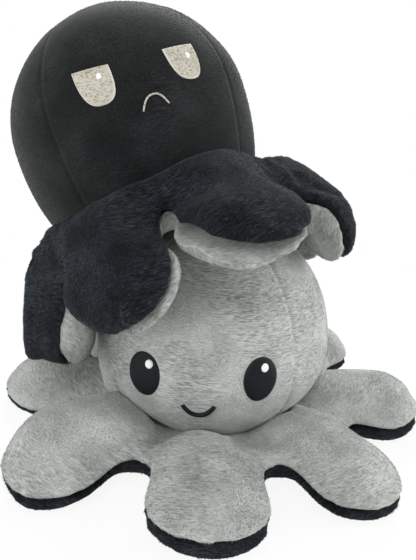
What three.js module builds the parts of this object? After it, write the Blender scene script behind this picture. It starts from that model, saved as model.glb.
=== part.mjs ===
// Two reversible plush octopuses, one perched on the other. The lower one sits grey
// side out with a smile. The upper one is turned to its black side with a frown, and
// its arms lie over the lower one's head. Each is a double bag of plush: turned one way
// or the other, its second head is tucked up inside the first as a finger pocket.
//
// Millimetres, +Z up. The origin is on the table under the middle of the lower toy,
// whose face looks towards -Y.

import * as THREE from 'three';
import { mergeVertices } from 'three/addons/utils/BufferGeometryUtils.js';

const degree = Math.PI / 180;

// Cloth and clearances
const clearance = 0.3; // air between neighbouring pieces
const plushThickness = 3; // plush cloth with its pile
const curvedClearance = 0.8; // the same between curved pieces, whose facets don't run parallel
const tuckedEdge = 0.2; // thinnest edge of an arm's upper half, where it tucks under the head

// Heads. Each is sewn from four panels and swells to one radius.
const headRadius = 56; // at its widest
const headSeamDip = 1.5; // how far the seams between the panels are drawn in
const sittingHeadHeight = 42; // widest ring of the lower head, above the table
const sittingHeadSetback = 6; // the head leans this far back over the middle of its arms
const sittingCrownRise = 59; // from the widest ring up to the crown
const sittingBellyDrop = 44.5; // the head spreads over its arms under its own weight
const perchedHeadHeight = 58; // widest ring of the upper head, above its own arms' undersides
const perchedCrownRise = 55;
const perchedBellyDrop = 79.4; // the upper head hangs together and tapers to its neck

// Arms, as the toy lies flat
const armCount = 8;
const armNeckReach = 40; // axis to where the arms come out from under the head
const armReach = 82; // axis to the centre of an arm's round end
const armEndRadius = 24.5;
const crookReach = 72.5; // axis to the crook between two arms
const armSeamRise = 12; // side seam above what the arm lies on
const sittingArmCrown = 15; // top of a flat arm above its side seam
const perchedArmCrown = 15; // the same where arms are bent, and their plush is bunched up
const armFlatDepth = 0.5; // depth of the flat that an arm has where it lies
const sittingValleyShare = 0.5; // how much lower the plush is between two arms than along them
const perchedValleyShare = 0.12;
const sittingRootShare = 0.8; // height of an arm's crown beside the head, as a share of its full height
const perchedRootShare = 1.5;
const armUndersideSquareness = 2.4;
const armBaseThickness = 9; // doubled plush between the head and what it sits on

// Finger pocket, the other head tucked up inside
const pocketRadius = 17;
const pocketDepth = 54;
const pocketLipRise = 3; // the mouth's edge above what the toy rests on

// Embroidery
const stitchThickness = 0.5;
const stitchCrownShare = 1.2; // satin stitch is a little thicker in its middle
const patchSectionShares = [ // across a patch: the share of its outline, and of the stitch's height
  [0, 0], [0.55, 0], [1, 0], [1, 0.5], [0.9, 1], [0.5, stitchCrownShare], [0, stitchCrownShare],
];
const glintRadius = 2.1;
const smileEyeWidth = 15.4;
const smileEyeHeight = 22;
const smileEyeSpread = 25.6; // degrees round from the middle of the face to an eye's centre
const smileEyeRise = 3;
const smileWidth = 14;
const smileDepth = 4.6;
const smileRise = -9.6; // height of the smile's ends from the head's widest ring
const frownEyeWidth = 15.6;
const frownEyeHeight = 15.2;
const frownEyeSpread = 19.7; // in degrees, as above
const frownEyeRise = 6.3;
const frownLidSlope = 1.7; // the eyelids fall towards the nose
const lidSidePullShare = 0.7; // roundness of the eye's lower edge
const lidBottomPullShare = 0.6;
const frownWidth = 10.8;
const frownDepth = 5.9;
const frownRise = -8.7; // height of the frown's ends
const frownShift = 1.6; // the frown sits a little off the middle
const threadWidth = 1.3;

// Lie of the upper toy: the middle of its arms' undersides, and its turns in degrees
const perchedX = -23.2;
const perchedY = 10.8;
const perchedZ = 85.2;
const perchedLean = 22.1; // to the left
const perchedTilt = 17; // backwards
const perchedFaceTurn = 19.3;
const perchedArmTurn = -10.5;
const sittingFaceTurn = -4.9;
const gatherShare = 0.93; // bending draws in the cloth of an arm to this share of its length

// How steeply each arm of the upper toy falls, in degrees, at its crook and at its tip
const perchedFalls = {
  front: [54, 88],
  front_right: [36, 40],
  right: [64, 82],
  back_right: [56, 74],
  back: [56, 76],
  back_left: [42, 52],
  left: [66, 80],
  front_left: [99, 70],
};

// How far the end of each arm of the upper toy is twisted, in degrees, with the side
// towards the next arm outwards
const perchedTwists = {
  front: 25,
  front_right: -4,
  right: -24,
  back_right: 0,
  back: 0,
  back_left: 0,
  left: 0,
  front_left: 20,
};

// How far the end of each arm is pushed towards the next one, as a share of its radius
const perchedPushShares = {
  front: 0.25,
  front_right: -0.14,
  right: 0.1,
  back_right: 0,
  back: 0,
  back_left: 0,
  left: 0,
  front_left: 0,
};
const perchedPinchShare = 0.6; // how much thinner the underside of a bent arm is beside its neighbour
const armNames = Object.keys(perchedFalls);
const panelNames = ['front', 'right', 'back', 'left'];

// Mesh fineness
const panelColumnShares = [-1, -0.84, -0.45, 0, 0.45, 0.84, 1];
const panelRows = 8;
const topColumnShares = [-1, -0.8, -0.45, 0, 0.45, 0.8, 1];
const undersideColumnShares = [-1, -0.72, -0.33, 0.33, 0.72, 1];
const pocketColumns = 12;
const rootSteps = 4;
const crookSteps = 2;
const endSteps = 5;
const bendSteps = 40;
const crownPolar = 88 * degree; // where the panels' tips meet
const halvings = 30;
const ovalCorners = 14;
const glintCorners = 8;
const lidCorners = 16;
const mouthSteps = 8;
const mergeShare = 0.01; // points closer than this share of the clearance are one

// Colours
const greyPlush = { color: 0xa3a7a5, roughness: 0.95, metalness: 0 };
const blackPlush = { color: 0x1b1c20, roughness: 0.95, metalness: 0 };
const stuffing = { color: 0xe6e4de, roughness: 1, metalness: 0 };
const blackThread = { color: 0x14151a, roughness: 0.6, metalness: 0 };
const whiteThread = { color: 0xcfcbc4, roughness: 0.6, metalness: 0 };
const glintThread = { color: 0xf2f1ee, roughness: 0.6, metalness: 0 };

// Shapes that follow from the sizes
const sector = Math.PI / armCount;
const crookRadius = (armEndRadius ** 2 - armReach ** 2 - crookReach ** 2
  + 2 * armReach * crookReach * Math.cos(sector))
  / (2 * (crookReach - armReach * Math.cos(sector) - armEndRadius));
const crookCentre = {
  along: (crookReach + crookRadius) * Math.cos(sector),
  across: (crookReach + crookRadius) * Math.sin(sector),
};
const touchAngle = Math.atan2(crookCentre.across, crookCentre.along - armReach);
const tipReach = armReach + armEndRadius;
const rootSeamRise = armBaseThickness - 2 * clearance;
const headSeatRise = armBaseThickness + curvedClearance;
const armRootReach = pocketRadius + plushThickness + curvedClearance;
const glintLift = 2 * clearance + stitchThickness * stitchCrownShare;

const mix = (a, b, share) => a + (b - a) * share;
const ease = (share) => {
  const s = Math.min(Math.max(share, 0), 1);
  return s * s * (3 - 2 * s);
};

// The last value between two ends, stepping from the first, for which a test still holds
function lastThatHolds(holds, first, end) {
  let inside = first;
  let outside = end;
  for (let i = 0; i < halvings; i += 1) {
    const middle = (inside + outside) / 2;
    if (holds(middle)) inside = middle;
    else outside = middle;
  }
  return inside;
}

// Solids from points

function solidFromTriangles(points, triangles) {
  const raw = new THREE.BufferGeometry();
  const numbers = points.flatMap((point) => point.toArray());
  raw.setAttribute('position', new THREE.Float32BufferAttribute(numbers, 3));
  raw.setIndex(triangles.flat());
  const merged = mergeVertices(raw, clearance * mergeShare);
  const index = merged.getIndex().array;
  const kept = [];
  for (let i = 0; i < index.length; i += 3) {
    const [a, b, c] = index.slice(i, i + 3);
    if (a !== b && b !== c && c !== a) kept.push(a, b, c);
  }
  merged.setIndex(kept);
  merged.computeVertexNormals();
  return merged;
}

// Triangles over a closed ring, zigzagging between its two sides by the shorter diagonal
function capTriangles(ring) {
  const triangles = [];
  let low = 0;
  let high = ring.length - 1;
  while (high - low > 1) {
    if (ring[low + 1].distanceTo(ring[high]) <= ring[low].distanceTo(ring[high - 1])) {
      triangles.push([low, low + 1, high]);
      low += 1;
    } else {
      triangles.push([low, high - 1, high]);
      high -= 1;
    }
  }
  return triangles;
}

// A skin through closed rings of points, which run clockwise as seen from the last one.
// A ring that is one point over and over closes its end; any other end gets a flat cap.
function loftSolid(rings) {
  const size = rings[0].length;
  const triangles = [];
  for (let i = 0; i + 1 < rings.length; i += 1) {
    for (let j = 0; j < size; j += 1) {
      const k = (j + 1) % size;
      const [a, b, c, d] = [i * size + j, i * size + k, (i + 1) * size + j, (i + 1) * size + k];
      const forward = rings[i][j].distanceTo(rings[i + 1][k]);
      const backward = rings[i][k].distanceTo(rings[i + 1][j]);
      if (forward < backward) triangles.push([a, d, b], [a, c, d]);
      else triangles.push([a, c, b], [b, c, d]);
    }
  }
  const last = (rings.length - 1) * size;
  capTriangles(rings[0]).forEach((corners) => triangles.push(corners));
  capTriangles(rings.at(-1)).forEach(([a, b, c]) => triangles.push([last + a, last + c, last + b]));
  return solidFromTriangles(rings.flat(), triangles);
}

// A sheet with thickness, from outer and inner grids of the same size. Seen from
// outside, rows run upwards and columns run to the right.
function sheetSolid(outer, inner) {
  const rows = outer.length;
  const columns = outer[0].length;
  const at = (side, i, j) => (side * rows + i) * columns + j;
  const triangles = [];
  for (let i = 0; i + 1 < rows; i += 1) {
    for (let j = 0; j + 1 < columns; j += 1) {
      triangles.push([at(0, i, j), at(0, i, j + 1), at(0, i + 1, j + 1)]);
      triangles.push([at(0, i, j), at(0, i + 1, j + 1), at(0, i + 1, j)]);
      triangles.push([at(1, i, j), at(1, i + 1, j + 1), at(1, i, j + 1)]);
      triangles.push([at(1, i, j), at(1, i + 1, j), at(1, i + 1, j + 1)]);
    }
  }
  const rim = [];
  for (let j = 0; j + 1 < columns; j += 1) rim.push([0, j]);
  for (let i = 0; i + 1 < rows; i += 1) rim.push([i, columns - 1]);
  for (let j = columns - 1; j > 0; j -= 1) rim.push([rows - 1, j]);
  for (let i = rows - 1; i > 0; i -= 1) rim.push([i, 0]);
  rim.forEach(([i, j], k) => {
    const [m, n] = rim[(k + 1) % rim.length];
    triangles.push([at(0, i, j), at(1, i, j), at(1, m, n)]);
    triangles.push([at(0, i, j), at(1, m, n), at(0, m, n)]);
  });
  return solidFromTriangles([...outer.flat(), ...inner.flat()], triangles);
}

// Scene graph

function addGroup(parent, place, turn) {
  const group = new THREE.Group();
  group.position.copy(place);
  group.rotation.copy(turn);
  parent.add(group);
  group.updateWorldMatrix(true, false);
  return group;
}

function addPiece(parent, name, geometry, finish) {
  const piece = new THREE.Mesh(geometry, new THREE.MeshStandardMaterial(finish));
  piece.name = name;
  parent.add(piece);
}

const origin = new THREE.Vector3();
const turnAbout = (angle) => new THREE.Euler(0, 0, angle);

// What a toy rests on. Each rest moves a point of the world that lies lower than lift
// above the surface out to that height, and gives any other point back as it is.

const restOnTable = (point, lift) => (
  point.z < lift ? new THREE.Vector3(point.x, point.y, lift) : point);

const restOnHead = (below) => (point, lift) => {
  const share = headShare(below, point, lift + curvedClearance);
  if (share >= 1) return point;
  return below.head.getWorldPosition(new THREE.Vector3()).lerp(point, 1 / share);
};

const isLow = (toy, world, lift) => toy.rest(world, lift) !== world;

// Whether a point of the world lies lower than lift in the toy's own base: below the
// level of its flat underside raised by lift, or too near to what it rests on
const isInBase = (toy, world, lift) => (
  toy.group.worldToLocal(world.clone()).z < lift || isLow(toy, world, lift));

// Heads

// A point at a longitude round the head from the middle of its face and a polar angle
// up from its widest ring, raised above the surface by lift
function headPoint(toy, longitude, polar, lift = 0) {
  const rise = polar > 0 ? toy.crownRise : toy.bellyDrop;
  const radius = (headRadius + lift) * Math.cos(polar);
  return new THREE.Vector3(
    radius * Math.sin(longitude),
    -radius * Math.cos(longitude),
    (rise + lift) * Math.sin(polar),
  );
}

// How large a point of the world lies on the head's swelling shape, raised by lift: one
// is on its surface and less is inside
function headShare(toy, world, lift) {
  const p = toy.head.worldToLocal(world.clone());
  const rise = (p.z > 0 ? toy.crownRise : toy.bellyDrop) + lift;
  return Math.hypot(Math.hypot(p.x, p.y) / (headRadius + lift), p.z / rise);
}

// The lowest polar angle of the head's surface, where it meets the toy's own base
const footPolar = (toy, longitude, lift) => lastThatHolds(
  (polar) => !isInBase(toy, toy.head.localToWorld(headPoint(toy, longitude, polar, lift)), headSeatRise),
  0,
  -Math.PI / 2,
);

function meridian(toy, longitude, lift) {
  const foot = footPolar(toy, longitude, lift);
  const points = [];
  for (let i = 0; i <= panelRows; i += 1) {
    points.push(headPoint(toy, longitude, mix(foot, crownPolar, i / panelRows), lift));
  }
  return points;
}

function headPanel(toy, middle) {
  const quarter = Math.PI / panelNames.length;
  const columns = panelColumnShares.map((share) => {
    const isEdge = Math.abs(share) === 1;
    const longitude = middle + share * (quarter - (isEdge ? clearance / headRadius : 0));
    return {
      outer: meridian(toy, longitude, isEdge ? -headSeamDip : 0),
      inner: meridian(toy, longitude, -plushThickness),
    };
  });
  const grid = (side) => columns[0][side].map((_, row) => columns.map((column) => column[side][row]));
  return sheetSolid(grid('outer'), grid('inner'));
}

// A ring of points about the toy's axis, one at each turn
const axisRing = (turns, radius, height) => turns.map((turn) => (
  new THREE.Vector3(radius * Math.cos(turn), radius * Math.sin(turn), height)));

// Points of the toy raised along its axis until they clear its base by lift
const raised = (toy, points, lift) => points.map((point) => {
  const top = toy.headHeight;
  const isClear = (z) => {
    const place = new THREE.Vector3(point.x, point.y, z);
    return !isInBase(toy, toy.group.localToWorld(place), lift);
  };
  return new THREE.Vector3(point.x, point.y, lastThatHolds(isClear, top, 0));
});

// A round blind end: the rings from the middle of a bowl's roof down to its wall
const bowlRings = (turns, radius, roof) => [
  axisRing(turns, 0, roof),
  axisRing(turns, radius * Math.SQRT1_2, roof - radius * (1 - Math.SQRT1_2)),
  axisRing(turns, radius, roof - radius),
];

// The stuffing between the head's skin and the pocket that is tucked up inside it
function headStuffing(toy) {
  const wall = pocketRadius + plushThickness + curvedClearance;
  const roof = toy.pocketFoot + pocketDepth + plushThickness + curvedClearance;
  const lift = -(plushThickness + clearance);
  const toToy = (point) => toy.group.worldToLocal(toy.head.localToWorld(point));
  const columns = [];
  for (let panel = 0; panel < panelNames.length; panel += 1) {
    for (const share of panelColumnShares.slice(0, -1)) {
      const longitude = (2 * panel + share) * Math.PI / panelNames.length;
      columns.push(meridian(toy, longitude, lift).map(toToy));
    }
  }
  const turns = columns.map(([foot]) => Math.atan2(foot.y - toy.head.position.y, foot.x));
  const mouth = raised(toy, axisRing(turns, wall, 0), headSeatRise);
  const halfway = columns.map(([foot], i) => foot.clone().lerp(mouth[i], 0.5));
  const rings = [
    ...bowlRings(turns, wall, roof),
    mouth,
    raised(toy, halfway, headSeatRise),
  ];
  for (let row = 0; row <= panelRows; row += 1) rings.push(columns.map((column) => column[row]));
  rings.push(turns.map(() => toToy(headPoint(toy, 0, Math.PI / 2, lift))));
  return loftSolid(rings.map((ring) => ring.reverse()));
}

// The other head, tucked up inside as a pocket. Pushing a finger into it turns the toy.
function fingerPocket(toy) {
  const turns = [];
  for (let i = 0; i < pocketColumns; i += 1) turns.push((i / pocketColumns) * 2 * Math.PI);
  const roof = toy.pocketFoot + pocketDepth;
  const outside = pocketRadius + plushThickness;
  return loftSolid([
    ...bowlRings(turns, outside, roof + plushThickness),
    raised(toy, axisRing(turns, outside, 0), pocketLipRise),
    raised(toy, axisRing(turns, pocketRadius, 0), pocketLipRise),
    ...bowlRings(turns, pocketRadius, roof).reverse(),
  ]);
}

// Arms

// The lines across an arm, from its root to its tip: how far out each crosses the middle,
// and where it meets the edge. The edge is straight beside the neighbour, hollow round
// the crook and round at the end.
function armStations(firstReach) {
  const bow = crookReach * (1 - Math.cos(sector));
  const stations = [];
  const addStraight = (reach) => {
    stations.push({ middle: reach, along: reach * Math.cos(sector), across: reach * Math.sin(sector) });
  };
  const reaches = [mix(armRootReach, armNeckReach, 0.5)];
  for (let i = 0; i <= rootSteps; i += 1) reaches.push(mix(armNeckReach, crookReach, i / rootSteps));
  addStraight(firstReach);
  reaches.filter((reach) => reach > firstReach + plushThickness).forEach(addStraight);
  const addCurved = (along, across) => {
    stations.push({ middle: along + bow * (across / armEndRadius) ** 2, along, across });
  };
  for (let i = 1; i <= crookSteps; i += 1) {
    const angle = Math.PI + mix(sector, touchAngle, i / crookSteps);
    addCurved(
      crookCentre.along + crookRadius * Math.cos(angle),
      crookCentre.across + crookRadius * Math.sin(angle),
    );
  }
  for (let i = 1; i <= endSteps; i += 1) {
    const angle = touchAngle * (1 - i / endSteps);
    addCurved(armReach + armEndRadius * Math.cos(angle), armEndRadius * Math.sin(angle));
  }
  return stations;
}

// How fully the arm is stuffed at a place, from none at its edge to one in its middle
function fullness(along, across, squareness) {
  const side = Math.abs(across);
  const inset = Math.atan2(side, along - armReach) <= touchAngle
    ? armEndRadius - Math.hypot(along - armReach, side)
    : Math.hypot(along - crookCentre.along, side - crookCentre.across) - crookRadius;
  const depth = 1 - Math.min(Math.max(inset / armEndRadius, 0), 1);
  return (1 - depth ** squareness) ** (1 / squareness);
}

// How far out a place is between the head's neck and the crook, eased from none to one
const neckShare = (along) => ease((along - armNeckReach) / (crookReach - armNeckReach));

// The arm's top above its side seam, with a valley between it and its neighbour
function armTop(toy, along, across) {
  const sideShare = Math.abs(across) / (along * Math.tan(sector));
  const crown = toy.armCrown * mix(toy.rootShare, 1, neckShare(along));
  return crown * fullness(along, across, 2) * (1 - toy.valleyShare * sideShare ** 2);
}

// The depth of the arm's underside below its side seam. Where arms are bent, their sides
// are pinched together.
function armUnderside(toy, along, across) {
  const sideShare = Math.abs(across) / (along * Math.tan(sector));
  const full = (armSeamRise + armFlatDepth) * fullness(along, across, armUndersideSquareness);
  return full * (1 - toy.pinchShare * sideShare ** 2);
}

// Height of the side seam, which runs in lower under the head
const seamRise = (reach) => mix(rootSeamRise, armSeamRise, neckShare(reach));

// The steepness of a bent arm's cloth, in radians, at a turn to one side of its middle.
// Towards a neighbour it comes to the mean of the two.
function fallAt(toy, index, turn, reach) {
  if (reach < armNeckReach) return 0;
  const { falls } = toy;
  const neighbour = (index + (turn > 0 ? 1 : armCount - 1)) % armCount;
  const weight = ease(Math.abs(turn) / sector) / 2;
  const crook = mix(falls[index][0], falls[neighbour][0], weight) * degree;
  const tip = mix(falls[index][1], falls[neighbour][1], weight) * degree;
  return reach < crookReach
    ? crook * (reach - armNeckReach) / (crookReach - armNeckReach)
    : mix(crook, tip, (reach - crookReach) / (tipReach - crookReach));
}

// Where the layer of the side seam has come in the plane through the toy's axis, after a
// length of cloth, and how steeply it falls there
function clothAt(toy, index, turn, reach) {
  const spot = { out: reach, up: armSeamRise, fall: 0 };
  if (!toy.falls) return spot;
  spot.out = 0;
  for (let i = 0; i < bendSteps; i += 1) {
    const at = reach * (i + 0.5) / bendSteps;
    const fall = fallAt(toy, index, turn, at);
    const length = reach / bendSteps * (at < armNeckReach ? 1 : gatherShare);
    spot.out += length * Math.cos(fall);
    spot.up -= length * Math.sin(fall);
  }
  spot.fall = fallAt(toy, index, turn, reach);
  return spot;
}

// A point of a flat arm, carried to where the arm is bent. Beside its neighbours the
// cloth bends like a bowl, and along the free arm it bends like a strip.
function bentPoint(toy, index, along, across, rise) {
  const turn = Math.atan2(across, along);
  const bowl = clothAt(toy, index, turn, Math.hypot(along, across));
  const strip = clothAt(toy, index, 0, along);
  const height = rise - armSeamRise;
  const bowlOut = bowl.out + height * Math.sin(bowl.fall);
  const crookAlong = crookReach * Math.cos(sector);
  const share = ease((along - crookAlong) / (armReach - crookAlong));
  const twist = share * toy.twists[index] * degree;
  const side = across * Math.cos(twist) - height * Math.sin(twist) + armEndRadius * toy.pushShares[index];
  const lift = across * Math.sin(twist) + height * Math.cos(twist);
  return new THREE.Vector3(
    mix(bowlOut * Math.cos(turn), strip.out + lift * Math.sin(strip.fall), share),
    mix(bowlOut * Math.sin(turn), side, share),
    mix(bowl.up + height * Math.cos(bowl.fall), strip.up + lift * Math.cos(strip.fall), share),
  );
}

// How far out the foot of the head comes over an arm
function neckReach(toy, frame) {
  const reaches = [];
  for (let i = 0; i < bendSteps; i += 1) {
    const longitude = (i / bendSteps) * 2 * Math.PI;
    const foot = headPoint(toy, longitude, footPolar(toy, longitude, 0));
    const place = frame.worldToLocal(toy.head.localToWorld(foot));
    if (Math.abs(Math.atan2(place.y, place.x)) < sector) reaches.push(Math.hypot(place.x, place.y));
  }
  return Math.max(...reaches);
}

// A point of an arm, at a height above the layer of its side seam. What the toy rests on
// holds that layer up.
function armPoint(toy, frame, index, along, across, height) {
  const rise = seamRise(along);
  const layer = bentPoint(toy, index, along, across, rise);
  const held = frame.worldToLocal(toy.rest(frame.localToWorld(layer.clone()), rootSeamRise).clone());
  return held.add(bentPoint(toy, index, along, across, rise + height)).sub(layer);
}

// The most that an arm's plush can rise before it meets its own head
function heightBelowHead(toy, frame, index, along, across, low, high) {
  const isFree = (height) => {
    const world = frame.localToWorld(armPoint(toy, frame, index, along, across, height));
    return headShare(toy, world, curvedClearance) >= 1 || isInBase(toy, world, headSeatRise - clearance);
  };
  const least = low + tuckedEdge;
  let height = least;
  for (let i = 1; i <= bendSteps && isFree(mix(least, high, i / bendSteps)); i += 1) {
    height = Math.max(height, mix(least, high, i / bendSteps));
  }
  return height;
}

// One half of an arm, between its side seam and its outer surface, as rings across it
function armHalf(toy, frame, index, stations, shares, isTop) {
  const seamHeight = (isTop ? 1 : -1) * curvedClearance / 2;
  const skinPoint = (x, y, fullY) => {
    if (isTop) {
      const full = seamHeight + armTop(toy, x, fullY);
      const height = heightBelowHead(toy, frame, index, x, y, seamHeight, full);
      return armPoint(toy, frame, index, x, y, height);
    }
    const rise = seamRise(x) + seamHeight - armUnderside(toy, x, fullY);
    const world = frame.localToWorld(bentPoint(toy, index, x, y, rise));
    return frame.worldToLocal(toy.rest(world, 0).clone());
  };
  const rings = stations.map((station) => {
    const half = Math.max(station.across - clearance / Math.cos(sector), 0);
    const along = (share) => mix(station.middle, station.along, share ** 2);
    const skin = shares.map((share) => skinPoint(along(share), share * half, share * station.across));
    const seam = [1, 0, -1].map((share) => (
      armPoint(toy, frame, index, along(share), share * half, seamHeight)));
    return [...skin, ...seam];
  });
  return loftSolid(isTop ? rings : rings.map((ring) => ring.reverse()));
}

// Embroidery

// A raised patch on the face, from its outline in the cloth round its own centre
function stitchedPatch(toy, centre, outline, lift) {
  const ring = (share, height) => outline.map((corner) => {
    const rise = centre.rise + corner.y * share;
    const longitude = centre.turn + (centre.shift + corner.x * share) / headRadius;
    const polar = Math.asin(rise / (rise > 0 ? toy.crownRise : toy.bellyDrop));
    return headPoint(toy, longitude, polar, lift + height * stitchThickness);
  }).reverse();
  return loftSolid(patchSectionShares.map(([share, height]) => ring(share, height)));
}

function ovalOutline(width, height, corners) {
  const outline = [];
  for (let i = 0; i < corners; i += 1) {
    const angle = (i / corners) * 2 * Math.PI;
    outline.push(new THREE.Vector2(width / 2 * Math.cos(angle), height / 2 * Math.sin(angle)));
  }
  return outline;
}

// A half-shut eye: a straight lid that falls towards the nose over a rounded lower edge
function liddedOutline(width, height, noseSide) {
  const side = width / 2;
  const bottom = -height / 2;
  const sidePull = bottom * lidSidePullShare;
  const bottomPull = side * lidBottomPullShare;
  const lid = (x) => height / 2 - noseSide * frownLidSlope * x / width;
  const shape = new THREE.Shape();
  shape.moveTo(side, lid(side));
  shape.lineTo(-side, lid(-side));
  shape.bezierCurveTo(-side, sidePull, -bottomPull, bottom, 0, bottom);
  shape.bezierCurveTo(bottomPull, bottom, side, sidePull, side, lid(side));
  return shape.getSpacedPoints(lidCorners).slice(0, -1);
}

// A line of satin stitch whose middle lies lower than its ends by depth
function stitchedMouth(toy, shift, rise, width, depth) {
  const edgeRow = (edge, lift) => {
    const row = [];
    for (let i = 0; i <= mouthSteps; i += 1) {
      const share = mix(-1, 1, i / mouthSteps);
      const slope = Math.atan(4 * depth * share / width);
      const across = shift + share * width / 2 - edge * threadWidth * Math.sin(slope);
      const up = rise - depth * (1 - share ** 2) + edge * threadWidth * Math.cos(slope);
      row.push(headPoint(toy, across / headRadius, Math.asin(up / toy.bellyDrop), lift));
    }
    return row;
  };
  const sheet = (lift) => [-0.5, 0.5].map((edge) => edgeRow(edge, lift));
  return sheetSolid(sheet(clearance + stitchThickness), sheet(clearance));
}

function addEye(toy, name, side, eye, finish) {
  const outline = eye.isLidded
    ? liddedOutline(eye.width, eye.height, -side)
    : ovalOutline(eye.width, eye.height, ovalCorners);
  const turn = side * eye.spread * degree;
  const centre = { turn, shift: 0, rise: eye.rise };
  const glintCentre = {
    turn,
    shift: eye.width * eye.glintAcrossShare,
    rise: eye.rise + eye.height * eye.glintUpShare,
  };
  const glint = ovalOutline(2 * glintRadius, 2 * glintRadius, glintCorners);
  addPiece(toy.head, `${toy.name}_eye_${name}`, stitchedPatch(toy, centre, outline, clearance), finish);
  addPiece(
    toy.head,
    `${toy.name}_eye_glint_${name}`,
    stitchedPatch(toy, glintCentre, glint, glintLift),
    glintThread,
  );
}

function addSmilingFace(toy) {
  const eye = {
    width: smileEyeWidth,
    height: smileEyeHeight,
    spread: smileEyeSpread,
    rise: smileEyeRise,
    glintAcrossShare: 0.15,
    glintUpShare: 0.22,
  };
  addEye(toy, 'left', -1, eye, blackThread);
  addEye(toy, 'right', 1, eye, blackThread);
  const smile = stitchedMouth(toy, 0, smileRise, smileWidth, smileDepth);
  addPiece(toy.head, `${toy.name}_smile`, smile, blackThread);
}

function addFrowningFace(toy) {
  const eye = {
    width: frownEyeWidth,
    height: frownEyeHeight,
    spread: frownEyeSpread,
    rise: frownEyeRise,
    isLidded: true,
    glintAcrossShare: 0.19,
    glintUpShare: 0.17,
  };
  addEye(toy, 'left', -1, eye, whiteThread);
  addEye(toy, 'right', 1, eye, whiteThread);
  const frown = stitchedMouth(toy, frownShift, frownRise, frownWidth, -frownDepth);
  addPiece(toy.head, `${toy.name}_frown`, frown, whiteThread);
}

// Whole toys

function addHead(toy) {
  panelNames.forEach((name, i) => {
    const panel = headPanel(toy, i * 2 * Math.PI / panelNames.length);
    addPiece(toy.head, `${toy.name}_head_${name}_panel`, panel, toy.outside);
  });
  addPiece(toy.group, `${toy.name}_head_stuffing`, headStuffing(toy), stuffing);
  addPiece(toy.group, `${toy.name}_finger_pocket`, fingerPocket(toy), toy.inside);
}

function addArms(toy) {
  armNames.forEach((name, index) => {
    const frame = addGroup(toy.skirt, origin, turnAbout(index * 2 * sector - Math.PI / 2));
    const topStations = armStations(neckReach(toy, frame) + curvedClearance);
    const top = armHalf(toy, frame, index, topStations, topColumnShares, true);
    const undersideStations = armStations(armRootReach);
    const underside = armHalf(toy, frame, index, undersideStations, undersideColumnShares, false);
    addPiece(frame, `${toy.name}_arm_${name}_top`, top, toy.outside);
    addPiece(frame, `${toy.name}_arm_${name}_underside`, underside, toy.inside);
  });
}

function addToy(toy, place, turn, headPlace, faceTurn, armTurn) {
  toy.group = addGroup(pair, place, turn);
  toy.head = addGroup(toy.group, headPlace, turnAbout(faceTurn * degree));
  toy.skirt = addGroup(toy.group, origin, turnAbout(armTurn * degree));
  toy.headHeight = headPlace.z;
  toy.pocketFoot = raised(toy, [origin], 0)[0].z;
  addHead(toy);
  addArms(toy);
}

const pair = new THREE.Group();

const lower = {
  name: 'lower',
  outside: greyPlush,
  inside: blackPlush,
  crownRise: sittingCrownRise,
  bellyDrop: sittingBellyDrop,
  rest: restOnTable,
  twists: armNames.map(() => 0),
  pushShares: armNames.map(() => 0),
  armCrown: sittingArmCrown,
  rootShare: sittingRootShare,
  valleyShare: sittingValleyShare,
  pinchShare: 0,
};
addToy(
  lower,
  origin,
  turnAbout(0),
  new THREE.Vector3(0, sittingHeadSetback, sittingHeadHeight),
  sittingFaceTurn,
  0,
);
addSmilingFace(lower);

const upper = {
  name: 'upper',
  outside: blackPlush,
  inside: greyPlush,
  crownRise: perchedCrownRise,
  bellyDrop: perchedBellyDrop,
  rest: restOnHead(lower),
  falls: Object.values(perchedFalls),
  twists: Object.values(perchedTwists),
  pushShares: Object.values(perchedPushShares),
  armCrown: perchedArmCrown,
  rootShare: perchedRootShare,
  valleyShare: perchedValleyShare,
  pinchShare: perchedPinchShare,
};
addToy(
  upper,
  new THREE.Vector3(perchedX, perchedY, perchedZ),
  new THREE.Euler(-perchedTilt * degree, -perchedLean * degree, 0, 'YXZ'),
  new THREE.Vector3(0, 0, perchedHeadHeight),
  perchedFaceTurn,
  perchedArmTurn,
);
addFrowningFace(upper);

export default pair;
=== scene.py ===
import math

import bmesh
import bpy
from mathutils import Matrix, Vector, geometry, noise
from mathutils.bvhtree import BVHTree


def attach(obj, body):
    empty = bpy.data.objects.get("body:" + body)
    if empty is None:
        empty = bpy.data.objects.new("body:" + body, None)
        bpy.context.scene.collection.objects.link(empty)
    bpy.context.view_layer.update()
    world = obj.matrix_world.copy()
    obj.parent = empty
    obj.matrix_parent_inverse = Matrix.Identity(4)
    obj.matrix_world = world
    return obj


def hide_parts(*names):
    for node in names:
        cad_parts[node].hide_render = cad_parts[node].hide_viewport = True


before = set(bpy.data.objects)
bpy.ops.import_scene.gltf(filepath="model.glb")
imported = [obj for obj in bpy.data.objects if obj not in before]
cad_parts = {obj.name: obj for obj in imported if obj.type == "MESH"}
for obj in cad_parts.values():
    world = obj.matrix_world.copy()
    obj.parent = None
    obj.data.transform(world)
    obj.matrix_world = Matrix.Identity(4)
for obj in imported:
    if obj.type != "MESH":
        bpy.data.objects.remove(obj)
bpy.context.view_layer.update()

MM = 0.001
MERGE_REACH = 0.01 * MM  # corners this near to each other are one

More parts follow.
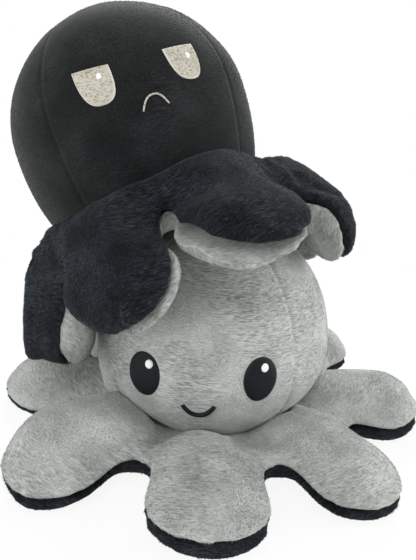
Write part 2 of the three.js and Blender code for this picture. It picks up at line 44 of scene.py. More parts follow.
# Heads, in the sizes of the frame
HEAD_RADIUS = 56 * MM
HEAD_SEGMENTS = 192
HEAD_ROWS = 96
SEAM_DEPTH = 1.0 * MM  # the stitched groove itself
SEAM_WIDTH = 1.1 * MM
PUFF_DEPTH = 0.9 * MM  # how far the panels puff out between their seams
PUFF_WIDTH = 9 * MM
PUCKER_DEPTH = 0.5 * MM  # small gathers along a seam
PUCKER_SPACING = 5 * MM
PUCKER_SHIFT = 9  # how much the gathers differ from seam to seam
LUMP_DEPTH = 0.6 * MM  # how unevenly the stuffing fills the skin
LUMPS_TO_RADIUS = 2.3
LUMP_SEEDS = {"lower": Vector((0, 0, 3)), "upper": Vector((0, 0, 7))}
CROWN_SHARE = 0.3  # the seams fade out over this share of the radius, round the crown
SKIN_THICKNESS = 2 * MM
PANEL_COUNT = 4
SEAM_CROWDING = 0.6  # how much nearer together the mesh's rows stand at the seams

# Lie of the upper toy
PERCHED_PLACE = Vector((-23.2, 10.8, 85.2)) * MM
PERCHED_LEAN = math.radians(22.1)  # to its right
PERCHED_TILT = math.radians(17)  # backwards

# Arms
VOXEL = 2.4 * MM
SMOOTH_ROUNDS = 6
CLOTH_FRAMES = 20
CLOTH_PRESSURE = 4.0
CLOTH_CAP = 3.2 * MM  # no point of the cloth moves farther
CLOTH_SHRINK = 2.4 * MM  # the skin starts this much smaller, and swells back
CLOTH_SPARE = 0.04  # the skin is cut this share larger than what it covers, and so it gathers
HELD_REACH = 2.2 * MM  # the skin is sewn down where the other half lies this near
RIM_SPAN = 9 * MM  # and swells freely only this much farther off
NECK_REACH = 15 * MM  # the arms' tops are drawn in to the head where they lie this near to it
NECK_SHARE = 0.55  # and all the way where they lie nearer than this share of it
NECK_OVERLAP = 1 * MM
RIM_RISE = 12 * MM  # the sitting toy's seam between the arms' halves, above the table
ARM_THICKNESS = 26 * MM
# How far the plush sags at that seam, in millimetres, at each arm from the front one on
RIM_DROPS = [-1.4, 3.6, 1.7, 4.5, 4.5, 4.5, 5.9, 4.8]

# Nudges that the soft toys have had, in millimetres: what they move, and their middle, reach
# and move. Each fades out round its middle.
NUDGES = {
    "lower": [
        (("top",), (-98, -10, 12), 24, (4, 3, -2)),
        (("underside",), (-98, -10, 12), 24, (4, 3.5, 1.2)),
        (("top", "underside"), (-84, -72, 14), 15, (-4.5, 0, 0)),
        (("top", "underside"), (-80, -76, 5), 10, (4, 2, 0)),
        (("top", "underside"), (-68, -78, 8), 22, (-1.4, -4.5, 0)),
        (("top", "underside"), (0, -104, 10), 20, (0, -1, 0)),
        (("top", "underside"), (22, -88, 12), 16, (2.6, 0, 0)),
        (("top", "underside"), (-22, -88, 12), 16, (-1.2, 0, 0)),
        (("top",), (-30.5, -64.5, 10), 14, (0, 3, 2.8)),
        (("underside",), (-30.5, -64.5, 10), 14, (0, 3, 4)),
        (("top",), (30.5, -64, 10), 14, (0, 3, 4)),
        (("underside",), (30.5, -64, 10), 14, (0, 3, 5.2)),
        (("top", "underside"), (18, -100, 8), 12, (2, -2, 0)),
        (("top", "underside"), (-18, -100, 8), 12, (-1.5, -1.5, 0)),
        (("top", "underside"), (98, -8, 14), 20, (-1.8, -1.5, 0)),
        (("top",), (70, 12, 22), 14, (0, 0, -0.8)),
        (("top",), (88, -2, 22), 18, (0, 0, 3.2)),
        (("top", "underside"), (88, -18, 6), 18, (0, -4.5, 0)),
        (("underside",), (0, -106, 5), 16, (0, -2.5, 0)),
        (("top", "underside"), (0, -46, 22), 17, (0, 0, -3)),
        (("top", "underside"), (-21, -38, 17), 11, (0, 0, -4)),
        (("top", "underside"), (23, -38, 17), 11, (0, 0, -4)),
        (("top", "underside"), (-34, -32, 20), 12, (0, -0.5, -4.5)),
        (("top", "underside"), (37, -31, 20), 12, (0, -0.5, -4.5)),
        (("top",), (-50, -28, 22), 16, (0, 1, 4)),
        (("top",), (-60, -46, 25), 17, (-0.5, 3, 3)),
        (("top", "underside"), (-73, -60, 28), 15, (-1, 5, 4.5)),
        (("top",), (52, -28, 22), 16, (0, 1, 5)),
        (("head",), (-45, -12, 12), 19, (-5, -1.5, -2)),
        (("head",), (0, -26, 4), 20, (0, -1.5, -2)),
    ],
    "upper": [
        (("underside",), (-20, -74, 98), 14, (3, 0, 0)),
        (("underside",), (-22, -66, 84), 11, (-1.5, 0, 0)),
        (("top",), (-19, -68, 100), 11, (3.2, 0, 0)),
        (("top", "underside"), (-42, -68, 72), 12, (0, 0, -2.8)),
        (("underside",), (-30, -68, 76), 12, (1.5, -0.5, -2.5)),
        (("top",), (-27, -67, 82), 11, (-3, 0, 2.5)),
        (("top",), (-66, -40, 66), 12, (6, -1.5, 0)),
        (("underside",), (6, -69, 108), 24, (0, -2.5, -6)),
        (("top", "underside"), (-68, -42, 57), 15, (-7.5, -1, -3.5)),
        (("top", "underside"), (-80, -36, 64), 13, (-3, 0, 0)),
        (("top", "underside"), (-77, -42, 56), 14, (-3.5, 0, -6.5)),
        (("underside",), (-79, -41, 50), 10, (2.5, 0.5, 2)),
        (("top", "underside"), (-86, -18, 83), 17, (3.6, 0, 0)),
        (("top",), (-67, -38, 98), 11, (-1, 0, 4)),
        (("top",), (-77, -31, 92), 8, (1, 0, 0)),
        (("top", "underside"), (-52, -60, 86), 16, (-3.5, -1, 0)),
        (("top", "underside"), (-54, -60, 78), 14, (-5.5, -2, 0)),
        (("top",), (-25, -42, 125), 16, (0, 1.5, 4)),
        (("top",), (-10, -36, 130), 18, (0, 1, 3.5)),
        (("top",), (6, -26, 133), 16, (0, 0, 2)),
        (("top", "underside"), (30, -50, 118), 15, (3, 0, 1)),
        (("underside",), (-12, -65, 104), 10, (3, 0, 3.5)),
        (("top", "underside"), (50, -12, 106), 28, (0.8, 0, 3.8)),
        (("top",), (20, -14, 131), 12, (0, 0, 1.2)),
        (("top", "underside"), (-19, -50, 109), 7, (-2, 1.5, 5)),
        (("top", "underside"), (-10, -56, 109), 9, (-6, -1, 0)),
        (("underside",), (-8, -58, 105), 10, (-2, -1, -3)),
        (("underside",), (-16, -49, 107), 7, (0, 3, 4)),
    ],
}

# Pile
HEAD_PILE = 0.75 * MM  # the face's pile is clipped and brushed smooth
ARM_PILE = 1.1 * MM
PILE_WIDTH = 0.25 * MM  # whole tufts, because single fibres are too fine to show
PILE_SIZES = (0.75, 1.15)  # the shortest and longest tufts, as shares of the length
PILE_WAVES = 0.9  # how far the tufts turn aside in waves
PILE_WAVE_SIZE = 20 * MM
PILE_JITTER = 0.3  # and each by itself
HEAD_DENSITY = 0.5 / MM ** 2
ARM_DENSITY = 1.1 / MM ** 2
PILE_MOST = 48000  # tufts to a piece
PILE_LEAN = math.radians(78)
COVER_REACH = 4 * MM  # no pile grows where another piece lies this near above
STITCHED_REACH = 0.9 * MM  # nor this near to embroidery
FLAT_REST = 1.8 * MM  # nor this near to the table

# Embroidery, in the sizes of the frame. Each patch stands a little proud of the pile.
PATCH_SIDES = 72
PATCH_ROWS = 40
PATCH_FULLNESS = 6  # the higher, the flatter the patch and the rounder its edge
PATCH_HEIGHT = 1.2 * MM
PATCH_DEPTH = 0.8 * MM
BORDER_START = 0.88  # the satin border starts at this share of the way out
BORDER_FADE = 0.05
BORDER_RISE = 0.15 * MM
GLINT_HEIGHT = 1.7 * MM
EYE_NARROWING = 0.06  # the lower toy's eyes are this share narrower at the foot
LID_CORNER = (0.6, 0.7)  # how far out and down the upper toy's eyes keep full below their lids
MOUTH_STEPS = 32
MOUTH_POWER = 2.4  # above 2, the mouth's ends are steeper than a parabola's

# Materials. Noise runs from light to dark and back over about two of these sizes.
CREASE_LENGTH = 2.7 * MM
CREASE_WIDTH = 0.4 * MM
CREASE_RELIEF = 0.28 * MM
MOTTLE_SIZE = 0.55 * MM  # of the brushed tufts
RUFFLE_SIZE = 38 * MM  # of the places where a hand has ruffled them
# broad patches of painted sheen and shade, lighter or darker where the leaning pile would catch or lose the
# light
PAINTED_SHEEN_AND_SHADE_SIZE = 16 * MM
STITCH_LENGTH = 1.2 * MM
STITCH_WIDTH = 0.42 * MM  # drawn coarser than the thread's 0.3 mm, which is too fine to show
STITCH_SLANT = math.radians(28)
STITCH_RELIEF = 0.25 * MM
FIBRE_CLOUD_SIZE = 8 * MM
# The arms' black plush is a little bluer than the head's
ARM_FINISHES = {"grey_plush": "grey_plush", "black_plush": "navy_black_plush"}

# Stage, in metres and watts
STAGE_MIDDLE = (0, 0, 0.08)
SOFTBOX_SIZE = 0.7
SOFTBOXES = [
    ("left softbox", (-0.9, -0.35, 0.3), 5.8),
    ("right softbox", (1.0, -0.1, 0.35), 11.6),
    ("overhead softbox", (0, -0.6, 0.95), 5.6),
    ("rear softbox", (0, 0.8, 0.8), 12.5),
    ("front softbox", (-0.35, -0.85, 0.5), 5.2),
]
WORLD_STRENGTH = 0.03
FLOOR_SIZE = 6
FLOOR_WHITENESS = 0.9  # what the camera sees of it as plain white, near the object
FLOOR_FADE = (0.12, 0.26)  # the floor turns all white between these distances

# Camera, in the photograph's frame of 416 by 560 pixels
FOCAL_PIXELS = 623
FRAME_HEIGHT = 560
SENSOR = 36.0
CAMERA_TARGET = Vector((-3.95, 6, 69.1)) * MM
CAMERA_DISTANCE = 299 * MM
CAMERA_ELEVATION = math.radians(20.4)
CAMERA_AZIMUTH = math.radians(-0.3)
CAMERA_ROLL = math.radians(3.6)

ARMS = ["front", "front_right", "right", "back_right", "back", "back_left", "left", "front_left"]
PANELS = ["front", "right", "back", "left"]


class Toy:
    """One octopus: its places, sizes and finishes. Its rises are the head's crown above its
    widest girth, its belly below it, and the foot of its skin above the toy's base."""

    def __init__(self, name, base, head_place, face_turn, rises, slots, tightness, slack):
        self.name = name
        self.body = f"{name}_octopus"
        self.base = base
        self.head = base @ Matrix.Translation(head_place) @ Matrix.Rotation(math.radians(face_turn), 4, "Z")
        self.crown_rise, self.belly_drop, self.seat_rise = rises
        self.outside, self.inside = slots
        self.tightness = tightness  # of the head's seams
        self.slack = slack  # how far its skin lies inside the frame's


def sitting_toy():
    return Toy(
        "lower",
        base=Matrix.Identity(4),
        head_place=Vector((0, 6, 42)) * MM,
        face_turn=-4.9,
        rises=(59 * MM, 44.5 * MM, 3.5 * MM),
        slots=("grey_plush", "black_plush"),
        tightness=0.62,
        slack=0,
    )


def perched_toy():
    turn = Matrix.Rotation(-PERCHED_LEAN, 4, "Y") @ Matrix.Rotation(-PERCHED_TILT, 4, "X")
    return Toy(
        "upper",
        base=Matrix.Translation(PERCHED_PLACE) @ turn,
        head_place=Vector((0, 0, 58)) * MM,
        face_turn=19.3,
        rises=(55 * MM, 79.4 * MM, 9.8 * MM),
        slots=("black_plush", "grey_plush"),
        tightness=0.35,
        slack=0.7 * MM,
    )


def smooth_share(share):
    share = max(0, min(1, share))
    return share * share * (3 - 2 * share)


# Camera

def aim_camera():
    back = Vector((
        math.sin(CAMERA_AZIMUTH) * math.cos(CAMERA_ELEVATION),
        -math.cos(CAMERA_AZIMUTH) * math.cos(CAMERA_ELEVATION),
        math.sin(CAMERA_ELEVATION),
    ))
    level = Vector((math.cos(CAMERA_AZIMUTH), math.sin(CAMERA_AZIMUTH), 0))
    axes = Matrix((level, back.cross(level), back)).transposed().to_4x4()
    data = bpy.data.cameras.new("camera")
    data.lens = FOCAL_PIXELS / FRAME_HEIGHT * SENSOR
    data.sensor_width = SENSOR
    data.clip_start = 0.01
    camera = bpy.data.objects.new("camera", data)
    place = Matrix.Translation(CAMERA_TARGET + CAMERA_DISTANCE * back)
    camera.matrix_world = place @ axes @ Matrix.Rotation(CAMERA_ROLL, 4, "Z")
    bpy.context.scene.collection.objects.link(camera)
    bpy.context.scene.camera = camera


# Materials

def linear(hex_colour):
    """An sRGB hex colour as linear RGBA."""
    channels = [int(hex_colour[i:i + 2], 16) / 255 for i in (1, 3, 5)]
    return [c / 12.92 if c <= 0.04045 else ((c + 0.055) / 1.055) ** 2.4 for c in channels] + [1]


def add_node(tree, kind, settings=None, inputs=None):
    """Adds a node. An input is named or numbered, and takes a value or another node's socket."""
    node = tree.nodes.new(kind)
    for key, value in (settings or {}).items():
        setattr(node, key, value)
    for key, value in (inputs or {}).items():
        if isinstance(value, bpy.types.NodeSocket):
            tree.links.new(value, node.inputs[key])
        else:
            node.inputs[key].default_value = value
    return node


def new_material(name):
    material = bpy.data.materials.new(name)
    material.use_nodes = True
    return material, material.node_tree, material.node_tree.nodes["Principled BSDF"]


def colour_ramp(tree, level, stops):
    """Hex colours at shares of a level."""
    ramp = add_node(tree, "ShaderNodeValToRGB", inputs={"Fac": level})
    elements = ramp.color_ramp.elements
    while len(elements) < len(stops):
        elements.new(0.5)
    for element, (position, colour) in zip(elements, stops):
        element.position = position
        element.color = linear(colour)
    return ramp.outputs["Color"]


def mixed(tree, share, first, second):
    mix = add_node(tree, "ShaderNodeMix", {"data_type": "FLOAT"}, {0: share, 2: first, 3: second})
    return mix.outputs[0]


def plush_material(name, colours, crease_share, sheen, sheen_colour):
    """Warp-knitted polyester plush with a short brushed pile. Where the pile is laid over it
    shows fine creases across the nap, painted darker in their troughs as shade, and where it
    is ruffled a finer mottle. Broad soft patches are painted lighter or darker as the pile
    leans: painted sheen and painted shade where it would catch or lose the light."""
    material, tree, shader = new_material(name)
    place = add_node(tree, "ShaderNodeTexCoord").outputs["Object"]
    nap = add_node(tree, "ShaderNodeAttribute", {"attribute_name": "nap"}).outputs["Vector"]
    across, along = 1 / CREASE_LENGTH, 1 / CREASE_WIDTH
    laid = add_node(tree, "ShaderNodeMapping", inputs={"Vector": nap, "Scale": (across, across, along)})
    # the creases' troughs are painted darker as shade through the colour ramp, as well as raised by their
    # bump
    creases = add_node(tree, "ShaderNodeTexNoise", inputs={
        "Vector": laid.outputs[0], "Scale": 1.0, "Detail": 1.5, "Roughness": 0.5, "Distortion": 0.35})
    mottle = add_node(tree, "ShaderNodeTexNoise", inputs={
        "Vector": place, "Scale": 1 / MOTTLE_SIZE, "Detail": 2.0, "Roughness": 0.6})
    patches = add_node(tree, "ShaderNodeTexNoise", inputs={
        "Vector": place, "Scale": 1 / RUFFLE_SIZE, "Detail": 1.0})
    ruffled = add_node(tree, "ShaderNodeMapRange", inputs={
        "Value": patches.outputs["Fac"], "From Min": 0.5, "From Max": 0.66})
    texture = mixed(tree, ruffled.outputs[0], creases.outputs["Fac"], mottle.outputs["Fac"])
    # broad patches of painted sheen and shade, lighter or darker as the pile leans
    painted_sheen_and_shade = add_node(tree, "ShaderNodeTexNoise", inputs={
        "Vector": place, "Scale": 1 / PAINTED_SHEEN_AND_SHADE_SIZE, "Detail": 2.0})
    level = mixed(tree, crease_share, painted_sheen_and_shade.outputs["Fac"], texture)
    bump = add_node(tree, "ShaderNodeBump", inputs={
        "Height": creases.outputs["Fac"], "Strength": 0.5, "Distance": CREASE_RELIEF})
    tree.links.new(colour_ramp(tree, level, colours), shader.inputs["Base Color"])
    tree.links.new(bump.outputs["Normal"], shader.inputs["Normal"])
    shader.inputs["Roughness"].default_value = 0.95
    shader.inputs["Specular IOR Level"].default_value = 0.15
    shader.inputs["Sheen Weight"].default_value = sheen
    shader.inputs["Sheen Roughness"].default_value = 0.45
    shader.inputs["Sheen Tint"].default_value = linear(sheen_colour)
    return material


def thread_material(name, colour, shaded_gap_colour, border_colour, roughness):
    """Rayon embroidery thread in rows of short slanted stitches. Their gaps are painted as dark
    specks of shade, and the satin border is denser and so cleaner."""
    material, tree, shader = new_material(name)
    place = add_node(tree, "ShaderNodeTexCoord").outputs["Object"]
    rows = add_node(tree, "ShaderNodeMapping", inputs={
        "Vector": place, "Rotation": (0, STITCH_SLANT, 0),
        "Scale": (1 / STITCH_LENGTH, 1 / STITCH_LENGTH, 1 / STITCH_WIDTH)})
    stitches = add_node(tree, "ShaderNodeTexNoise", inputs={
        "Vector": rows.outputs[0], "Scale": 1.0, "Detail": 2.0, "Roughness": 0.65})
    filled = colour_ramp(tree, stitches.outputs["Fac"], [(0.36, shaded_gap_colour), (0.5, colour)])
    border = add_node(tree, "ShaderNodeAttribute", {"attribute_name": "border"}).outputs["Fac"]
    coloured = add_node(tree, "ShaderNodeMix", {"data_type": "RGBA"}, {
        0: border, 6: filled, 7: linear(border_colour)})
    bump = add_node(tree, "ShaderNodeBump", inputs={
        "Height": stitches.outputs["Fac"], "Strength": 0.6, "Distance": STITCH_RELIEF})
    tree.links.new(coloured.outputs[2], shader.inputs["Base Color"])
    tree.links.new(bump.outputs["Normal"], shader.inputs["Normal"])
    shader.inputs["Roughness"].default_value = roughness
    shader.inputs["Specular IOR Level"].default_value = 0.15
    return material


def fibre_material():
    """Carded polyester fibre: white, loose and cloudy."""
    material, tree, shader = new_material("carded polyester fibre")
    place = add_node(tree, "ShaderNodeTexCoord").outputs["Object"]
    clouds = add_node(tree, "ShaderNodeTexNoise", inputs={
        "Vector": place, "Scale": 1 / FIBRE_CLOUD_SIZE, "Detail": 4.0})
    colour = colour_ramp(tree, clouds.outputs["Fac"], [(0.3, "#cfcdc6"), (0.7, "#f4f3ee")])
    tree.links.new(colour, shader.inputs["Base Color"])
    shader.inputs["Roughness"].default_value = 1.0
    return material


def make_materials():
    return {
        # each plush's dark and light stops are painted shade and painted sheen about its own colour in the
        # middle
        "grey_plush": plush_material(
            "grey minky plush",
            [(0.35, "#696c68"), (0.5, "#909390"), (0.65, "#acafab")],
            crease_share=0.66, sheen=0.3, sheen_colour="#f4f6f2"),
        "black_plush": plush_material(
            "black minky plush",
            [(0.36, "#060708"), (0.5, "#101213"), (0.64, "#1f2122")],
            crease_share=0.6, sheen=0.34, sheen_colour="#a9aeac"),
        "navy_black_plush": plush_material(
            "blue-black minky plush",
            [(0.38, "#030409"), (0.5, "#0f1318"), (0.62, "#2a2e31")],
            crease_share=0.7, sheen=0.15, sheen_colour="#a4a9ae"),
        # each thread's second colour is painted shade in the gaps between its stitches
        "black_thread": thread_material("black rayon thread", "#0f1116", "#08090c", "#15181d", 0.6),
        "off_white_thread": thread_material("off-white rayon thread", "#a7a397", "#6f6a5f", "#b9b6ab", 0.6),
        "white_thread": thread_material("white rayon thread", "#dbdad6", "#b4b2ab", "#dbdad6", 0.6),
        "polyester_stuffing": fibre_material(),
    }


# Pieces

def link_mesh(name, bm):
    mesh = bpy.data.meshes.new(name)
    bm.to_mesh(mesh)
    bm.free()
    mesh.polygons.foreach_set("use_smooth", [True] * len(mesh.polygons))
    piece = bpy.data.objects.new(name, mesh)
    bpy.context.scene.collection.objects.link(piece)
    return piece


def applied(piece):
    """The piece with its modifiers applied, and smooth."""
    graph = bpy.context.evaluated_depsgraph_get()
    mesh = bpy.data.meshes.new_from_object(piece.evaluated_get(graph))
    piece.modifiers.clear()
    piece.data = mesh
    mesh.polygons.foreach_set("use_smooth", [True] * len(mesh.polygons))
    return piece


def dress(piece, toy, slot, finish=None):
    piece.data.materials.clear()
    piece.data.materials.append(materials[finish or slot])
    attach(piece, toy.body)
    return piece


def copy_of_nodes(names):
    """One bmesh of these CAD nodes, with their corners merged."""
    bm = bmesh.new()
    for name in names:
        bm.from_mesh(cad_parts[name].data)
    bmesh.ops.remove_doubles(bm, verts=bm.verts, dist=MERGE_REACH)
    bmesh.ops.recalc_face_normals(bm, faces=bm.faces)
    return bm


def set_attribute(mesh, name, kind, values):
    attribute = mesh.attributes.get(name) or mesh.attributes.new(name, kind, "POINT")
    attribute.data.foreach_set("vector" if kind == "FLOAT_VECTOR" else "value", values)


def lay_nap(piece, place, along):
    """Gives the skin its nap: a place across the toy, and how far along it the pile runs."""
    inverse = place.inverted()
    values = []
    for vert in piece.data.vertices:
        local = inverse @ vert.co
        values += [local.x, local.y, along(local)]
    set_attribute(piece.data, "nap", "FLOAT_VECTOR", values)


# Heads

def seam_lift(longitude, polar, tightness):
    """How far the skin is drawn in near the seams between the four panels."""
    quarter = 2 * math.pi / PANEL_COUNT
    arc = abs(HEAD_RADIUS * math.cos(polar) * ((longitude % quarter) - quarter / 2))
    gather = noise.noise(Vector((longitude * PUCKER_SHIFT, 0, HEAD_RADIUS * polar / PUCKER_SPACING)))
    near, groove = math.exp(-(arc / PUFF_WIDTH) ** 2), math.exp(-(arc / SEAM_WIDTH) ** 2)
    shown = smooth_share(math.cos(polar) / CROWN_SHARE) * tightness
    return shown * ((PUCKER_DEPTH * gather - PUFF_DEPTH) * near - SEAM_DEPTH * groove)


def head_point(toy, longitude, polar, lift=0.0):
    """A point of the head's uneven skin, from its turn round the head and its angle up."""
    way = Vector((
        math.cos(polar) * math.sin(longitude), -math.cos(polar) * math.cos(longitude), math.sin(polar)))
    lift += LUMP_DEPTH * noise.noise(way * LUMPS_TO_RADIUS + LUMP_SEEDS[toy.name]) - toy.slack
    lift += seam_lift(longitude, polar, toy.tightness)
    rise = toy.crown_rise if polar > 0 else toy.belly_drop
    point = toy.head @ Vector((
        (HEAD_RADIUS + lift) * way.x, (HEAD_RADIUS + lift) * way.y, (rise + lift) * way.z))
    return nudged(toy, "head", point)


def head_skin(toy):
    """Four panels of plush sewn into one bag, which the stuffing swells between its seams."""
    bm = bmesh.new()
    bmesh.ops.create_uvsphere(bm, u_segments=HEAD_SEGMENTS, v_segments=HEAD_ROWS, radius=1)
    inverse = toy.base.inverted()
    for vert in bm.verts:
        unit = vert.co.normalized()
        longitude = math.atan2(unit.x, -unit.y)
        longitude += SEAM_CROWDING * math.sin(PANEL_COUNT * longitude) / PANEL_COUNT
        vert.co = inverse @ head_point(toy, longitude, math.asin(max(-1, min(1, unit.z))))
    bmesh.ops.bisect_plane(
        bm, geom=bm.verts[:] + bm.edges[:] + bm.faces[:], plane_co=(0, 0, toy.seat_rise),
        plane_no=(0, 0, -1), clear_outer=True)
    bmesh.ops.transform(bm, matrix=toy.base, verts=bm.verts)
    bmesh.ops.recalc_face_normals(bm, faces=bm.faces)
    bmesh.ops.solidify(bm, geom=bm.faces[:], thickness=SKIN_THICKNESS)
    skin = dress(link_mesh(f"{toy.name}_head_skin", bm), toy, toy.outside)
    lay_nap(skin, toy.head, lambda local: local.z)
    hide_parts(*[f"{toy.name}_head_{panel}_panel" for panel in PANELS])
    return skin


# Arms

def sagged(point):
    """Where a point of the sitting toy's arms lies once their rims have sagged."""
    place = math.atan2(point.x, -point.y) / (2 * math.pi) * len(ARMS)
    before = math.floor(place)
    drops = [RIM_DROPS[(before + step) % len(ARMS)] * MM for step in (0, 1)]
    rim_drop = drops[0] + (drops[1] - drops[0]) * smooth_share(place - before)
    above = (point.z - RIM_RISE) / (ARM_THICKNESS - RIM_RISE)
    share = point.z / RIM_RISE if above < 0 else 1 - smooth_share(above)
    return Vector((point.x, point.y, point.z - rim_drop * share))


def nudged(toy, half, point):
    """Where a point of the toy's skin comes to lie after the nudges."""
    moved = sagged(point) if toy.name == "lower" and half != "head" else point.copy()
    for halves, middle, reach, move in NUDGES[toy.name]:
        if half in halves:
            distance = (point - Vector(middle) * MM).length / (reach * MM)
            moved += Vector(move) * MM * math.exp(-distance ** 2)
    return moved


def arm_skin(toy, half):
    """The arms' plush on one side, sewn as one skin across all eight arms."""
    skin = link_mesh(
        f"{toy.name}_arms_{half}", copy_of_nodes([f"{toy.name}_arm_{arm}_{half}" for arm in ARMS]))
    remesh = skin.modifiers.new("remesh", "REMESH")
    remesh.mode = "VOXEL"
    remesh.voxel_size = VOXEL
    smooth = skin.modifiers.new("smooth", "SMOOTH")
    smooth.factor = 0.5
    smooth.iterations = SMOOTH_ROUNDS
    applied(skin)
    for vert in skin.data.vertices:
        vert.co = nudged(toy, half, vert.co)
    return skin


def swell(skin, other):
    """Cloth blown up from inside, as stuffing does, and sewn down where the other half lies."""
    tree = tree_of(other)
    far = HELD_REACH + RIM_SPAN
    gaps = [tree.find_nearest(vert.co, far)[3] for vert in skin.data.vertices]
    rooms = [smooth_share(((far if gap is None else gap) - HELD_REACH) / RIM_SPAN) for gap in gaps]
    start = [vert.co - CLOTH_SHRINK * room * vert.normal for vert, room in zip(skin.data.vertices, rooms)]
    for vert, rest in zip(skin.data.vertices, start):
        vert.co = rest
    sewn = [i for i, room in enumerate(rooms) if room == 0]
    held = skin.vertex_groups.new(name="sewn")
    held.add(sewn, 1.0, "REPLACE")
    scene = bpy.context.scene
    cloth = skin.modifiers.new("cloth", "CLOTH")
    cloth.settings.vertex_group_mass = held.name
    cloth.settings.use_pressure = True
    cloth.settings.uniform_pressure_force = CLOTH_PRESSURE
    cloth.settings.shrink_min = -CLOTH_SPARE
    cloth.settings.effector_weights.gravity = 0
    cloth.settings.quality = 5
    for number in range(1, CLOTH_FRAMES + 1):
        scene.frame_set(number)
    graph = bpy.context.evaluated_depsgraph_get()
    blown = bpy.data.meshes.new_from_object(skin.evaluated_get(graph))
    skin.modifiers.clear()
    skin.vertex_groups.clear()
    for vert, rest, moved, room in zip(skin.data.vertices, start, blown.vertices, rooms):
        step = moved.co - rest
        if step.length > CLOTH_CAP:
            step *= CLOTH_CAP / step.length
        vert.co = rest + step * room
    scene.frame_set(1)


def finish_arm_skin(toy, skin, half, slot):
    for vert in skin.data.vertices:
        vert.co.z = max(0, vert.co.z)
    rounded = skin.modifiers.new("rounded", "SUBSURF")
    rounded.levels = rounded.render_levels = 1
    dress(applied(skin), toy, slot, ARM_FINISHES[slot])
    lay_nap(skin, toy.base, lambda local: math.hypot(local.x, local.y) - local.z)
    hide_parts(*[f"{toy.name}_arm_{arm}_{half}" for arm in ARMS])


def draw_to_head(toy, skin, head):
    """Sews the arms' top to the head: draws in the skin that lies near outside it."""
    tree = tree_of(head)
    inverse, turn = toy.head.inverted(), toy.head.to_3x3()
    for vert in skin.data.vertices:
        local = inverse @ vert.co
        inwards = turn @ Vector((-local.x, -local.y, 0)).normalized()
        place, normal, _, distance = tree.ray_cast(vert.co, inwards, NECK_REACH)
        if place is not None and normal.dot(inwards) < 0:
            share = 1 - smooth_share((distance / NECK_REACH - NECK_SHARE) / (1 - NECK_SHARE))
            vert.co += (distance + NECK_OVERLAP) * share * inwards


def make_arms(toy, head):
    top, underside = arm_skin(toy, "top"), arm_skin(toy, "underside")
    draw_to_head(toy, top, head)
    swell(top, underside)
    swell(underside, top)
    finish_arm_skin(toy, top, "top", toy.outside)
    finish_arm_skin(toy, underside, "underside", toy.inside)
    return top, underside


# Finger pocket and stuffing

def inner_piece(toy, node, slot, depth, spacing):
    """A soft inner piece: the frame's own form, drawn in unevenly by up to a depth."""
    bm = copy_of_nodes([f"{toy.name}_{node}"])
    bmesh.ops.subdivide_edges(bm, edges=bm.edges, cuts=2, use_grid_fill=True)
    bm.normal_update()
    moves = [vert.normal * depth * (noise.noise(vert.co / spacing) - 1) / 2 for vert in bm.verts]
    for vert, move in zip(bm.verts, moves):
        vert.co += move
    piece = dress(link_mesh(f"{toy.name}_{node}_soft", bm), toy, slot)
    lay_nap(piece, toy.base, lambda local: local.z)
    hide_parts(f"{toy.name}_{node}")
    return piece


# Pile

def tree_of(piece):
    return BVHTree.FromObject(piece, bpy.context.evaluated_depsgraph_get())


def mark_bare(skin, covers, patches, is_hidden):
    """Marks where pile grows: not under a cover, beside a stitched patch, or where it is hidden."""
    covering = [tree_of(piece) for piece in covers]
    stitched = [tree_of(piece) for piece in patches]
    values = []
    for vert in skin.data.vertices:
        bare = is_hidden(vert) or any(
            tree.ray_cast(vert.co, vert.normal, COVER_REACH)[0] is not None for tree in covering)
        bare = bare or any(tree.find_nearest(vert.co, STITCHED_REACH)[0] is not None for tree in stitched)
        values.append(0.0 if bare else 1.0)
    set_attribute(skin.data, "pile", "FLOAT", values)


def kept_density(skin, density):
    """Tufts to a square metre, or fewer where the whole skin would have too many."""
    marks = skin.data.attributes["pile"].data
    grown = sum(face.area for face in skin.data.polygons if all(marks[i].value for i in face.vertices))
    return min(density, PILE_MOST / grown)


def vector_maths(tree, operation, first, second=None):
    inputs = {0: first}
    if second is not None:
        inputs["Scale" if operation == "SCALE" else 1] = second
    return add_node(tree, "ShaderNodeVectorMath", {"operation": operation}, inputs).outputs


